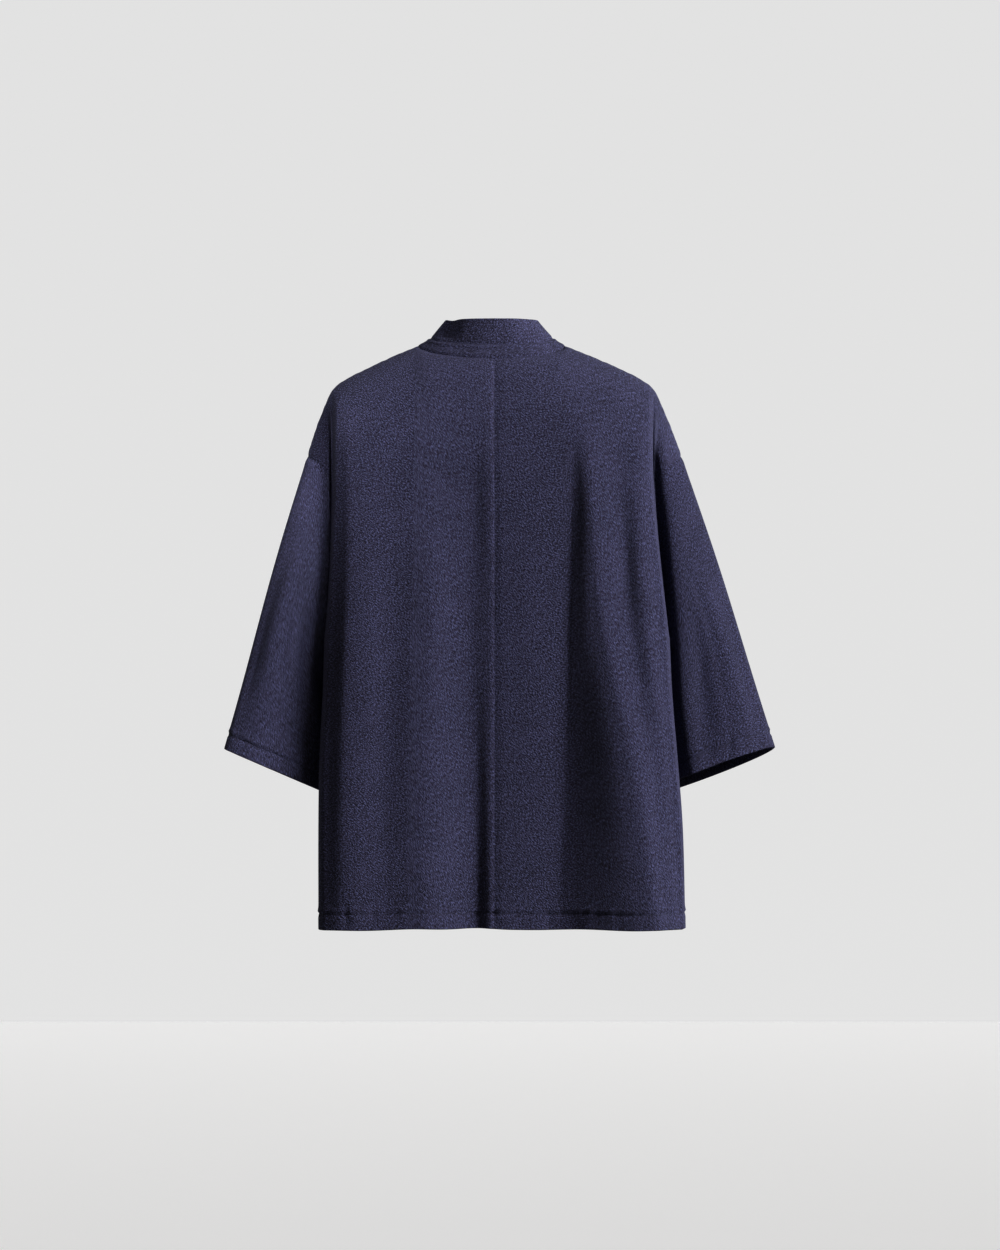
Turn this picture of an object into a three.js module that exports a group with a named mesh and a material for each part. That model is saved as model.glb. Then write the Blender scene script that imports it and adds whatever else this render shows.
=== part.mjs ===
// A short navy haori jacket, hollow and filled out as when it is worn, in millimetres.
// +Z is up, the front faces -Y, the wearer's left is +X, and the origin lies between the shoulders
// at the base of the neck. Seven cut pieces of cloth, each a closed wall, stand a seam's gap apart.
import * as THREE from 'three';

// Cloth
const CLOTH = 1.5;
const BAND_CLOTH = 2.4;
const SEAM_GAP = 0.3;

// Heights of the cut
const HEM_Z = -734;
const UNDERARM_Z = -370;
const ARMHOLE_TOP_Z = -140;

// Neck and collar band
const NECK_DROP = 16;
const NECK_DEPTH = 52;
const FRONT_EDGE_X = 84;

// How far down the cloth takes to round over from the shoulder line
const BACK_CAP = 150;
const FRONT_CAP = 160;
const NECK_CAP_POWER = 1.6;
const SHOULDER_CAP_POWER = 2.3;

// Armhole loop
const UNDERARM_X = 188;
const ARMHOLE_BACK_DEPTH = 60;
const ARMHOLE_FRONT_DEPTH = 54;
const ARMHOLE_INSET_POWER = 8;
const ARMHOLE_ROUND_POWER = 0.7;

// How a panel reaches its armhole seam: outwards and down on the upper arm, and further round the
// armhole inwards, so that the seam lies at the bottom of the valley between body and sleeve
const SEAM_ON_ARM = { out: 0.5, inwards: 0, down: 0.86 };
const SEAM_IN_VALLEY = { out: 0.28, inwards: 1.4, down: 0 };
const VALLEY_STARTS = 0.15;
const VALLEY_FULL = 0.42;

// How a sleeve leaves the armhole under the arm, and how much it fills out at front and back
const UNDERARM_LEAVE = { out: 0.75, down: 0.65 };
const SLEEVE_FULLNESS = 0.45;
const SLEEVE_FOLDS_START = 0.25;

// The body hangs a little towards the wearer's right, more so at the hem
const SWAY = 9;
const FRONT_ROLL = 3;
// How far the back and front carry on past their side edges before they turn, as a share of the flank
const FLANK_ROLL = 0.85;

// Steps across and along the pieces
const NECK_STEPS = 5;
const SHOULDER_STEPS = 7;
const FLANK_STEPS = 6;
const ARMHOLE_STEPS = 13;
const SKIRT_STEPS = 15;
const SLEEVE_STEPS = 13;
const ROWS = ARMHOLE_STEPS + SKIRT_STEPS;

// Shoulder line, from the side of the neck over the shoulder to the top of the armhole
const SHOULDER_LINE = [
  { z: 0, left: 97, right: 90 },
  { z: -12, left: 126, right: 120 },
  { z: -29, left: 162, right: 159 },
  { z: -44, left: 191, right: 188 },
  { z: -56, left: 205, right: 202 },
  { z: -75, left: 214, right: 211 },
  { z: -105, left: 226, right: 224 },
  { z: ARMHOLE_TOP_Z, left: 237, right: 237 },
];
const SHOULDER_CORNER_SHARE = 0.53;

// Side edges of the back as they show from behind, and how far inside them the cloth starts to roll round
const BACK_EDGE = [
  { z: -50, left: 200, right: 198, roll: 2 },
  { z: -130, left: 199, right: 201, roll: 2 },
  { z: -220, left: 204, right: 206, roll: 3 },
  { z: -320, left: 211, right: 217, roll: 6 },
  { z: -440, left: 216, right: 225, roll: 7 },
  { z: -520, left: 221, right: 233, roll: 8 },
  { z: -610, left: 221, right: 239, roll: 7 },
  { z: HEM_Z, left: 220, right: 243, roll: 7 },
];

// Depths from the shoulder line: middle and side edge of the back, side edge and inner edge of the front
const DEPTHS = [
  { z: -160, back: 102, backEdge: 82, frontEdge: -66, front: -94 },
  { z: -370, back: 106, backEdge: 92, frontEdge: -74, front: -102 },
  { z: -560, back: 104, backEdge: 92, frontEdge: -76, front: -102 },
  { z: HEM_Z, back: 106, backEdge: 92, frontEdge: -78, front: -104 },
];

// Side seam, which keeps clear of the hanging sleeve and opens out below its cuff
const SIDE_SEAM = [
  { z: UNDERARM_Z, x: UNDERARM_X },
  { z: -430, x: 178 },
  { z: -590, x: 177 },
  { z: HEM_Z, x: 194 },
];

// Folds that hang from the shoulders: x at the top and the hem, half widths and heights there.
// A negative height is a trough. Heights grow from "from" to "full".
const BACK_FOLDS = [
  { x: 167, hemX: 182, half: 26, hemHalf: 28, height: 3, hemHeight: 5, from: -90, full: -260 },
  { x: 122, hemX: 137, half: 24, hemHalf: 26, height: -4, hemHeight: -6, from: -110, full: -300 },
  { x: 74, hemX: 89, half: 24, hemHalf: 26, height: 3, hemHeight: 5, from: -110, full: -300 },
  { x: 31, hemX: 41, half: 22, hemHalf: 26, height: -4, hemHeight: -9, from: -120, full: -420 },
  { x: -88, hemX: -84, half: 24, hemHalf: 34, height: -6, hemHeight: -17, from: -70, full: -420 },
  { x: -135, hemX: -168, half: 22, hemHalf: 42, height: 3, hemHeight: 9, from: -90, full: -380 },
];
const FRONT_FOLDS = [
  { x: 128, hemX: 136, half: 22, hemHalf: 30, height: 5, hemHeight: 11, from: -120, full: -420 },
  { x: 160, hemX: 176, half: 18, hemHalf: 22, height: -3, hemHeight: -6, from: -180, full: -420 },
  { x: -122, hemX: -134, half: 22, hemHalf: 28, height: 5, hemHeight: 9, from: -140, full: -450 },
  { x: -150, hemX: -172, half: 18, hemHalf: 24, height: -4, hemHeight: -7, from: -200, full: -450 },
];

// Cuffs: outer corner, slope of the edge, half width and half depth of the oval, lean of its plane
const CUFFS = {
  left: { x: 343, z: -510, slope: 23.2, half: 83, depth: 43, lean: 2.5, edge: 16.1 },
  right: { x: 356, z: -508, slope: 20.6, half: 83, depth: 43, lean: 10, edge: 17.8 },
};
const CUFF_Y = -18;

// Folds along the sleeves: angle round the sleeve from its top edge towards the back, half width
// in degrees, height, and the shares of the length where they are highest and where they die out
const SLEEVE_FOLDS = {
  left: [
    { angle: 52, half: 26, height: 5, peak: 0.45, reach: 0.55 },
    { angle: 96, half: 24, height: -5, peak: 0.6, reach: 0.6 },
    { angle: -60, half: 30, height: 4, peak: 0.6, reach: 0.5 },
    { angle: -110, half: 26, height: -4, peak: 0.5, reach: 0.5 },
  ],
  right: [
    { angle: 46, half: 22, height: -4, peak: 0.7, reach: 0.5 },
    { angle: 80, half: 24, height: 5, peak: 0.6, reach: 0.6 },
    { angle: -70, half: 30, height: 4, peak: 0.5, reach: 0.5 },
    { angle: -118, half: 26, height: -4, peak: 0.6, reach: 0.5 },
  ],
};

// The collar band's two parts, a leaning foot next to the seam and the stand above its crease: their
// widths, and the directions that they take at the centre back, and down the front edge from the side
// of the neck, where they come to lie flat
const BAND_FOOT = {
  width: 17,
  atBack: { inwards: 0, back: -0.55, up: 0.83 },
  downFront: [
    { z: 0, inwards: 0.87, back: -0.08, up: 0.48 },
    { z: -40, inwards: 0.88, back: -0.38, up: 0.28 },
    { z: -110, inwards: 0.96, back: -0.24, up: 0.1 },
    { z: -220, inwards: 1, back: -0.08, up: 0 },
    { z: HEM_Z, inwards: 1, back: -0.06, up: 0 },
  ],
};
const BAND_STAND = {
  width: 35,
  atBack: { inwards: 0, back: -0.12, up: 0.99 },
  downFront: [
    { z: 0, inwards: 0.62, back: -0.34, up: 0.71 },
    { z: -40, inwards: 0.76, back: -0.4, up: 0.5 },
    { z: -110, inwards: 0.95, back: -0.26, up: 0.16 },
    { z: -220, inwards: 1, back: -0.08, up: 0.02 },
    { z: HEM_Z, inwards: 1, back: -0.06, up: 0 },
  ],
};
const STAND_STEPS = 2;

const NAVY = 0x2b2f52;
const NAVY_BAND = 0x282c4d;
const SIDES = { left: 1, right: -1 };

const { lerp, clamp, degToRad } = THREE.MathUtils;

// Smooth rise from 0 to 1 as a value goes from one limit to the other
function ease(value, from, to) {
  const t = clamp((value - from) / (to - from), 0, 1);
  return t * t * (3 - 2 * t);
}

// A column of a table whose rows go downwards, read at a height on a smooth curve through the rows
function read(table, column, z) {
  const last = table.length - 1;
  if (z >= table[0].z) return table[0][column];
  if (z <= table[last].z) return table[last][column];
  const k = table.findIndex((row, n) => z > table[n + 1].z);
  const [before, upper] = [table[Math.max(k - 1, 0)], table[k]];
  const [lower, after] = [table[k + 1], table[Math.min(k + 2, last)]];
  const span = lower.z - upper.z;
  const t = (z - upper.z) / span;
  const start = (lower[column] - before[column]) / (lower.z - before.z) * span;
  const end = (after[column] - upper[column]) / (after.z - upper.z) * span;
  return cubic(upper[column], lower[column], start, end, t);
}

// Cubic between two values with the slopes wanted at its ends
function cubic(a, b, slopeA, slopeB, t) {
  const t2 = t * t;
  const t3 = t2 * t;
  return a * (2 * t3 - 3 * t2 + 1) + b * (3 * t2 - 2 * t3) + slopeA * (t3 - 2 * t2 + t) + slopeB * (t3 - t2);
}

function cubicPoint(a, b, slopeA, slopeB, t) {
  return new THREE.Vector3(
    cubic(a.x, b.x, slopeA.x, slopeB.x, t),
    cubic(a.y, b.y, slopeA.y, slopeB.y, t),
    cubic(a.z, b.z, slopeA.z, slopeB.z, t),
  );
}

function sway(z) {
  return -SWAY * ease(z, UNDERARM_Z, HEM_Z);
}

// Shoulder line of one side, and its corner over the shoulder
function shoulderPoint(side, step) {
  const points = SHOULDER_LINE.map((row) => new THREE.Vector3(SIDES[side] * row[side], 0, row.z));
  const share = step <= SHOULDER_STEPS
    ? SHOULDER_CORNER_SHARE * step / SHOULDER_STEPS
    : SHOULDER_CORNER_SHARE + (1 - SHOULDER_CORNER_SHARE) * (step - SHOULDER_STEPS) / FLANK_STEPS;
  return new THREE.CatmullRomCurve3(points).getPointAt(share);
}

// Back neck seam, from the centre back round to the side of the neck
function neckPoint(side, step) {
  const round = Math.PI / 2 * step / NECK_STEPS;
  return new THREE.Vector3(
    SIDES[side] * SHOULDER_LINE[0][side] * Math.sin(round),
    NECK_DEPTH * Math.cos(round),
    -NECK_DROP * Math.cos(round),
  );
}

// Armhole loop, from its top (0) to the underarm (ARMHOLE_STEPS), behind (+1) or in front (-1)
function armholePoint(side, step, face) {
  const round = Math.PI * step / ARMHOLE_STEPS;
  const down = (1 - Math.cos(round)) / 2;
  const top = SHOULDER_LINE[SHOULDER_LINE.length - 1][side];
  const depth = face > 0 ? ARMHOLE_BACK_DEPTH : ARMHOLE_FRONT_DEPTH;
  return new THREE.Vector3(
    SIDES[side] * (UNDERARM_X + (top - UNDERARM_X) * (1 - down) ** ARMHOLE_INSET_POWER),
    face * depth * Math.max(Math.sin(round), 0) ** ARMHOLE_ROUND_POWER,
    lerp(ARMHOLE_TOP_Z, UNDERARM_Z, down),
  );
}

function sideSeamPoint(side, z) {
  return new THREE.Vector3(SIDES[side] * read(SIDE_SEAM, 'x', z) + sway(z), 0, z);
}

// Height of a row of a panel that starts at topZ on the neck or shoulder line
function rowHeight(topZ, row) {
  if (row >= ARMHOLE_STEPS) return lerp(UNDERARM_Z, HEM_Z, (row - ARMHOLE_STEPS) / SKIRT_STEPS);
  const even = row / ARMHOLE_STEPS;
  const down = (1 - Math.cos(Math.PI * even)) / 2;
  return lerp(topZ, UNDERARM_Z, (even * even + down) / 2);
}

// Share of the way from the shoulder line out to the hanging cloth: a quarter round
function cap(drop, height, power) {
  const left = 1 - clamp(drop / height, 0, 1);
  return (1 - left ** power) ** (1 / power);
}

// Sum of the folds at a place
function foldHeight(folds, x, z) {
  let sum = 0;
  for (const fold of folds) {
    const down = clamp((z - fold.full) / (HEM_Z - fold.full), 0, 1);
    const middle = lerp(fold.x, fold.hemX, clamp(z / HEM_Z, 0, 1));
    const away = Math.abs(x - middle) / lerp(fold.half, fold.hemHalf, down);
    if (away >= 1) continue;
    const grown = ease(z, fold.from, fold.full);
    sum += lerp(fold.height, fold.hemHeight, down) * grown * (1 + Math.cos(Math.PI * away)) / 2;
  }
  return sum;
}

// The shoulder line's part that drops over the upper arm
function upperArmLine(side) {
  const points = [];
  for (let step = 1; step <= FLANK_STEPS; step++) points.push(shoulderPoint(side, SHOULDER_STEPS + step));
  return points;
}

// The cloth that rolls from a panel's side edge round to the armhole or side seam
function flankRow(inner, edge, outer, outerSlope) {
  const reach = edge.distanceTo(outer);
  const slope = edge.clone().sub(inner).normalize().multiplyScalar(FLANK_ROLL * reach);
  const points = [];
  for (let step = 1; step < FLANK_STEPS; step++) {
    points.push(cubicPoint(edge, outer, slope, outerSlope.clone().multiplyScalar(reach), step / FLANK_STEPS));
  }
  return [...points, outer];
}

// Direction in which a panel's cloth reaches its armhole or side seam
function seamApproach(side, row, face) {
  const sunk = ease(row / ARMHOLE_STEPS, VALLEY_STARTS, VALLEY_FULL);
  const between = (way) => lerp(SEAM_ON_ARM[way], SEAM_IN_VALLEY[way], sunk);
  return new THREE.Vector3(SIDES[side] * between('out'), -face * between('inwards'), -between('down'));
}

function backGrid(side) {
  const sign = SIDES[side];
  const corner = shoulderPoint(side, SHOULDER_STEPS);
  const grid = [];
  for (let row = 0; row <= ROWS; row++) {
    const line = [];
    for (let step = 0; step <= NECK_STEPS + SHOULDER_STEPS; step++) {
      const top = step <= NECK_STEPS ? neckPoint(side, step) : shoulderPoint(side, step - NECK_STEPS);
      const z = rowHeight(top.z, row);
      const share = top.x / corner.x;
      const edgeX = sign * (read(BACK_EDGE, side, z) - read(BACK_EDGE, 'roll', z));
      const x = lerp(top.x, edgeX * share, ease(z, top.z, UNDERARM_Z));
      const hang = lerp(read(DEPTHS, 'back', z), read(DEPTHS, 'backEdge', z), share ** 3);
      const power = lerp(NECK_CAP_POWER, SHOULDER_CAP_POWER, share);
      const y = lerp(top.y, hang, cap(top.z - z, BACK_CAP, power)) + foldHeight(BACK_FOLDS, x, z);
      line.push(new THREE.Vector3(x, y, z));
    }
    const [inner, edge] = line.slice(-2);
    const armhole = row <= ARMHOLE_STEPS;
    const outer = armhole ? armholePoint(side, row, 1) : sideSeamPoint(side, rowHeight(0, row));
    line.push(...(row === 0 ? upperArmLine(side) : flankRow(inner, edge, outer, seamApproach(side, row, 1))));
    grid.push(line);
  }
  return grid;
}

function frontGrid(side) {
  const sign = SIDES[side];
  const corner = shoulderPoint(side, SHOULDER_STEPS);
  const neck = shoulderPoint(side, 0);
  const grid = [];
  for (let row = 0; row <= ROWS; row++) {
    const line = [];
    for (let step = 0; step <= SHOULDER_STEPS; step++) {
      const top = shoulderPoint(side, step);
      const z = rowHeight(top.z, row);
      const share = (top.x - neck.x) / (corner.x - neck.x);
      const edgeX = sideSeamPoint(side, Math.min(z, UNDERARM_Z)).x - sign * FRONT_ROLL;
      const low = lerp(sign * FRONT_EDGE_X + sway(z), edgeX, share);
      const x = lerp(top.x, low, ease(z, top.z, UNDERARM_Z));
      const hang = lerp(read(DEPTHS, 'front', z), read(DEPTHS, 'frontEdge', z), share ** 2);
      const power = lerp(NECK_CAP_POWER, SHOULDER_CAP_POWER, share);
      const y = lerp(top.y, hang, cap(top.z - z, FRONT_CAP, power)) - foldHeight(FRONT_FOLDS, x, z);
      line.push(new THREE.Vector3(x, y, z));
    }
    const [inner, edge] = line.slice(-2);
    const armhole = row <= ARMHOLE_STEPS;
    const outer = armhole ? armholePoint(side, row, -1) : sideSeamPoint(side, rowHeight(0, row));
    line.push(...(row === 0 ? upperArmLine(side) : flankRow(inner, edge, outer, seamApproach(side, row, -1))));
    grid.push(line);
  }
  return grid;
}

// Sleeve: rings from the armhole loop down to the oval cuff, round by the back and then the front
function sleeveGrid(side) {
  const sign = SIDES[side];
  const cuff = CUFFS[side];
  const slope = degToRad(cuff.slope);
  const edge = degToRad(cuff.edge);
  const lean = degToRad(cuff.lean);
  const along = new THREE.Vector3(sign * Math.cos(slope), 0, Math.sin(slope));
  const across = new THREE.Vector3(0, Math.cos(lean), Math.sin(lean));
  const middle = new THREE.Vector3(sign * cuff.x, CUFF_Y, cuff.z).addScaledVector(along, -cuff.half);
  const down = new THREE.Vector3(sign * Math.sin(edge), 0, -Math.cos(edge));
  const grid = [];
  for (let ring = 0; ring <= SLEEVE_STEPS; ring++) grid.push([]);
  for (let step = 0; step < 2 * ARMHOLE_STEPS; step++) {
    const face = step <= ARMHOLE_STEPS ? 1 : -1;
    const start = armholePoint(side, face > 0 ? step : 2 * ARMHOLE_STEPS - step, face);
    const round = Math.PI * step / ARMHOLE_STEPS;
    const end = middle.clone().addScaledVector(along, cuff.half * Math.cos(round))
      .addScaledVector(across, cuff.depth * Math.sin(round));
    const length = start.distanceTo(end);
    const under = Math.sin(round / 2) ** 2;
    const out = lerp(Math.sin(edge), UNDERARM_LEAVE.out, under) + SLEEVE_FULLNESS * Math.abs(Math.sin(round));
    const leave = new THREE.Vector3(sign * out, 0, -lerp(Math.cos(edge), UNDERARM_LEAVE.down, under));
    const outward = new THREE.Vector3(sign * Math.cos(round), Math.sin(round), 0);
    for (let ring = 0; ring <= SLEEVE_STEPS; ring++) {
      const share = ring / SLEEVE_STEPS;
      const point = cubicPoint(start, end, leave.clone().multiplyScalar(length),
        down.clone().multiplyScalar(length), share);
      point.addScaledVector(outward, sleeveFold(side, round, share));
      grid[ring].push(point);
    }
  }
  return grid;
}

function sleeveFold(side, round, share) {
  let sum = 0;
  for (const fold of SLEEVE_FOLDS[side]) {
    const turn = Math.atan2(Math.sin(round - degToRad(fold.angle)), Math.cos(round - degToRad(fold.angle)));
    const away = Math.abs(turn) / degToRad(fold.half);
    const past = Math.abs(share - fold.peak) / fold.reach;
    if (away >= 1 || past >= 1) continue;
    sum += fold.height * (1 + Math.cos(Math.PI * away)) / 2 * (1 + Math.cos(Math.PI * past)) / 2;
  }
  return sum * ease(share, 0, SLEEVE_FOLDS_START);
}

// Collar band: from the left front hem up, round the back of the neck, and down the right front
function collarGrid(fronts, backs) {
  const seam = [];
  for (let row = ROWS; row > 0; row--) seam.push({ at: fronts.left[row][0], side: 'left' });
  for (let step = NECK_STEPS; step > 0; step--) seam.push({ at: backs.left[0][step], side: 'left', step });
  for (let step = 0; step <= NECK_STEPS; step++) seam.push({ at: backs.right[0][step], side: 'right', step });
  for (let row = 1; row <= ROWS; row++) seam.push({ at: fronts.right[row][0], side: 'right' });
  return seam.map(({ at, side, step }) => {
    const way = (part) => {
      const [side0, around] = [part.downFront[0], step / NECK_STEPS];
      const value = (name) => (step === undefined
        ? read(part.downFront, name, at.z)
        : lerp(part.atBack[name], side0[name], around));
      return new THREE.Vector3(-SIDES[side] * value('inwards'), value('back'), value('up')).normalize();
    };
    const crease = at.clone().addScaledVector(way(BAND_FOOT), BAND_FOOT.width);
    const line = [at, crease];
    for (let k = 1; k <= STAND_STEPS; k++) {
      line.push(crease.clone().addScaledVector(way(BAND_STAND), BAND_STAND.width * k / STAND_STEPS));
    }
    return line;
  });
}

// A piece: its grid of points, which way is outwards, whether it closes round, and its sewn edges
function piece(grid, { outwards, ring = false, attached = false, sewn, thickness, colour }) {
  const rows = grid.length;
  const columns = grid[0].length;
  const wrap = (i) => (ring ? (i + columns) % columns : clamp(i, 0, columns - 1));
  const at = (j, i) => grid[clamp(j, 0, rows - 1)][wrap(i)];
  const normals = grid.map((line, j) => line.map((point, i) => {
    const across = at(j, i + 1).clone().sub(at(j, i - 1));
    const down = at(j + 1, i).clone().sub(at(j - 1, i));
    return across.cross(down).normalize().multiplyScalar(outwards);
  }));
  return { grid, normals, rows, columns, at, outwards, ring, attached, sewn, thickness, colour };
}

// Pieces that share a seam share its normals too, so that their edges are cut square to each other.
// Where a sleeve or the collar meets two panels at once, the panels count as one.
function shareSeamNormals(pieces) {
  const key = (point) => point.toArray().map((value) => Math.round(value * 1000)).join();
  const each = (visit) => {
    for (const p of pieces) p.grid.forEach((line, j) => line.forEach((point, i) => visit(p, j, i)));
  };
  const seams = new Map();
  each((p, j, i) => {
    const place = key(p.grid[j][i]);
    if (!seams.has(place)) seams.set(place, { panels: new THREE.Vector3(), attached: new THREE.Vector3() });
    seams.get(place)[p.attached ? 'attached' : 'panels'].add(p.normals[j][i]);
  });
  each((p, j, i) => {
    const { panels, attached } = seams.get(key(p.grid[j][i]));
    p.normals[j][i] = panels.clone().normalize().add(attached.clone().normalize()).normalize();
  });
}

// Draws a piece's sewn edges in by half a seam's gap, square to the seam
function openSeams(p) {
  const moved = p.grid.map((line) => line.map((point) => point.clone()));
  const drawIn = (j, i, alongSeam, inside) => {
    const point = p.at(j, i);
    const normal = p.normals[j][i];
    const side = inside.clone().sub(point);
    side.addScaledVector(normal, -side.dot(normal));
    side.addScaledVector(alongSeam, -side.dot(alongSeam) / alongSeam.lengthSq());
    moved[j][i].addScaledVector(side.normalize(), SEAM_GAP / 2);
  };
  const last = { row: p.rows - 1, column: p.columns - 1 };
  for (let j = 0; j < p.rows; j++) {
    const along = p.at(j + 1, 0).clone().sub(p.at(j - 1, 0));
    if (p.sewn.includes('start')) drawIn(j, 0, along, p.at(j, 1));
    const alongEnd = p.at(j + 1, last.column).clone().sub(p.at(j - 1, last.column));
    if (p.sewn.includes('end')) drawIn(j, last.column, alongEnd, p.at(j, last.column - 1));
  }
  for (let i = 0; i < p.columns; i++) {
    const along = p.at(0, i + 1).clone().sub(p.at(0, i - 1));
    if (p.sewn.includes('top')) drawIn(0, i, along, p.at(1, i));
  }
  p.grid = moved;
}

// The closed wall of a piece: outer and inner faces half a thickness off the grid, and rims
function wall(p) {
  const outer = [];
  const inner = [];
  p.grid.forEach((line, j) => line.forEach((point, i) => {
    outer.push(point.clone().addScaledVector(p.normals[j][i], p.thickness / 2));
    inner.push(point.clone().addScaledVector(p.normals[j][i], -p.thickness / 2));
  }));
  const count = outer.length;
  const id = (j, i) => j * p.columns + (i % p.columns);
  const faces = [];
  const steps = p.ring ? p.columns : p.columns - 1;
  for (let j = 0; j < p.rows - 1; j++) {
    for (let i = 0; i < steps; i++) {
      const corners = [id(j, i), id(j, i + 1), id(j + 1, i + 1), id(j + 1, i)];
      if (p.outwards < 0) corners.reverse();
      const [a, b, c, d] = corners;
      const short = outer[a].distanceTo(outer[c]) <= outer[b].distanceTo(outer[d]);
      faces.push(...(short ? [[a, b, c], [a, c, d]] : [[a, b, d], [b, c, d]]));
    }
  }
  const edges = new Set(faces.flatMap(([a, b, c]) => [`${a},${b}`, `${b},${c}`, `${c},${a}`]));
  const index = [];
  for (const [a, b, c] of faces) index.push(a, b, c, count + c, count + b, count + a);
  for (const edge of edges) {
    const [a, b] = edge.split(',').map(Number);
    if (!edges.has(`${b},${a}`)) index.push(b, a, count + a, b, count + a, count + b);
  }
  const geometry = new THREE.BufferGeometry();
  geometry.setAttribute('position', new THREE.Float32BufferAttribute(
    [...outer, ...inner].flatMap((point) => point.toArray()), 3));
  geometry.setIndex(index);
  geometry.computeVertexNormals();
  return geometry;
}

const backs = { left: backGrid('left'), right: backGrid('right') };
const fronts = { left: frontGrid('left'), right: frontGrid('right') };

// The side seam and shoulder line of each front are those of the back
const panel = { sewn: ['start', 'end', 'top'], thickness: CLOTH, colour: NAVY };
const sleeve = { sewn: ['top'], ring: true, attached: true, thickness: CLOTH, colour: NAVY };
const pieces = {
  back_left: piece(backs.left, { ...panel, outwards: 1 }),
  back_right: piece(backs.right, { ...panel, outwards: -1 }),
  front_left: piece(fronts.left, { ...panel, outwards: -1 }),
  front_right: piece(fronts.right, { ...panel, outwards: 1 }),
  sleeve_left: piece(sleeveGrid('left'), { ...sleeve, outwards: -1 }),
  sleeve_right: piece(sleeveGrid('right'), { ...sleeve, outwards: 1 }),
  collar: piece(collarGrid(fronts, backs), {
    sewn: ['start'], attached: true, thickness: BAND_CLOTH, colour: NAVY_BAND, outwards: -1 }),
};

shareSeamNormals(Object.values(pieces));
const jacket = new THREE.Group();
for (const [name, p] of Object.entries(pieces)) {
  openSeams(p);
  const material = new THREE.MeshStandardMaterial({ color: p.colour, roughness: 0.9, metalness: 0 });
  const mesh = new THREE.Mesh(wall(p), material);
  mesh.name = name;
  jacket.add(mesh);
}

export default jacket;
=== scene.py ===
import math

import bpy
import numpy as np
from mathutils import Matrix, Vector


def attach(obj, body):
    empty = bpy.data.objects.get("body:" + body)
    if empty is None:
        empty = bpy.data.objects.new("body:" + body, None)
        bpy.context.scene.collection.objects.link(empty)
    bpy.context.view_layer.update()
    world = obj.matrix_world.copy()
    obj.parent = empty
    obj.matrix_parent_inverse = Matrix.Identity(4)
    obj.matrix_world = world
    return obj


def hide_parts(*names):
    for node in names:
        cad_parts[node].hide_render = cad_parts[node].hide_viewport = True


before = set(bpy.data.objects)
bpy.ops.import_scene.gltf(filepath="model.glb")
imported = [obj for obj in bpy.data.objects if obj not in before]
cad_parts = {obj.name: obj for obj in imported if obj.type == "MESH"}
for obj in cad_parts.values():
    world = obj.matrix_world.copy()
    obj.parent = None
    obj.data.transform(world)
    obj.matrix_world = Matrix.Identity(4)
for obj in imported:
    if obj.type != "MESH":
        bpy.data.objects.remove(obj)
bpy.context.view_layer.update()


# Back halves
# Two panels of navy crepe, each cut in one with its dropped shoulder and joined by the centre back seam.
# The cloth hangs in soft uneven folds from the shoulders, and its hem is turned up inside and stitched.
CLOTH = 0.0012
HEM_Z = -0.734
UNDERARM_Z = -0.370
ARMHOLE_TOP_Z = -0.140
UNDERARM_X = 0.188
NECK_DROP = 0.016
NECK_DEPTH = 0.052
SWAY = 0.009
TURN_UP = 0.019
ALLOWANCE = 0.003
SEAM_DIP = 0.0011
SEAM_WIDTH = 0.0032
HEM_DIP = 0.0017
NECK_DIP = 0.0040
NECK_ENDS = (0.088, 0.078)
CENTRE_DIP = 0.0013
CENTRE_WIDTH = {"left": 0.0018, "right": 0.0060}
SIDES = {"left": 1, "right": -1}
CORNER_SHARE = 0.53
CORNER_STEP = 1 / 7
ARM_LINE_ENDS = 0.12
VALLEY_DEPTH = {"left": 0.027, "right": 0.031}
VALLEY_WIDTH = {"left": 0.014, "right": 0.012}
VALLEY_BEHIND = (-0.005, 0.020)
VALLEY_START = (-0.040, -0.110)
VALLEY_EDGE = 2.14
SOFTENED = 120
SOFTENED_BY = 0.16
FLANK_ROLL = 0.85
UNDER_THE_SHOULDER = (0.15, 0.42)
ON_ARM = np.array([0.5, 0, 0.86])
IN_VALLEY = np.array([0.28, 1.4, 0])
ARMHOLE_DEPTH = {1: 0.060, -1: 0.054}
BACK_ROUND = 0.150
ROUND_POWER = (1.6, 2.3)
SHOULDER_LINE = {
    "z": (0, -0.012, -0.029, -0.044, -0.056, -0.075, -0.105, ARMHOLE_TOP_Z),
    "left": (0.097, 0.126, 0.162, 0.191, 0.205, 0.214, 0.226, 0.237),
    "right": (0.090, 0.120, 0.159, 0.188, 0.202, 0.211, 0.224, 0.237),
}
BACK_EDGE = {
    "z": (-0.050, -0.130, -0.220, -0.320, -0.440, -0.520, -0.610, HEM_Z),
    "left": (0.198, 0.197, 0.201, 0.205, 0.209, 0.213, 0.214, 0.213),
    "right": (0.193, 0.192, 0.203, 0.211, 0.218, 0.225, 0.232, 0.236),
}
DEPTHS = {
    "z": (-0.160, UNDERARM_Z, -0.560, HEM_Z),
    "back": (0.102, 0.106, 0.104, 0.106),
    "back_edge": (0.082, 0.092, 0.092, 0.092),
    "front": (-0.094, -0.102, -0.102, -0.104),
    "front_edge": (-0.066, -0.074, -0.076, -0.078),
}
SIDE_SEAM = {"z": (UNDERARM_Z, -0.430, -0.590, HEM_Z), "x": (UNDERARM_X, 0.178, 0.177, 0.194)}
LEVELS = (-0.080, -0.200, -0.345, -0.540, HEM_Z)
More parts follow.
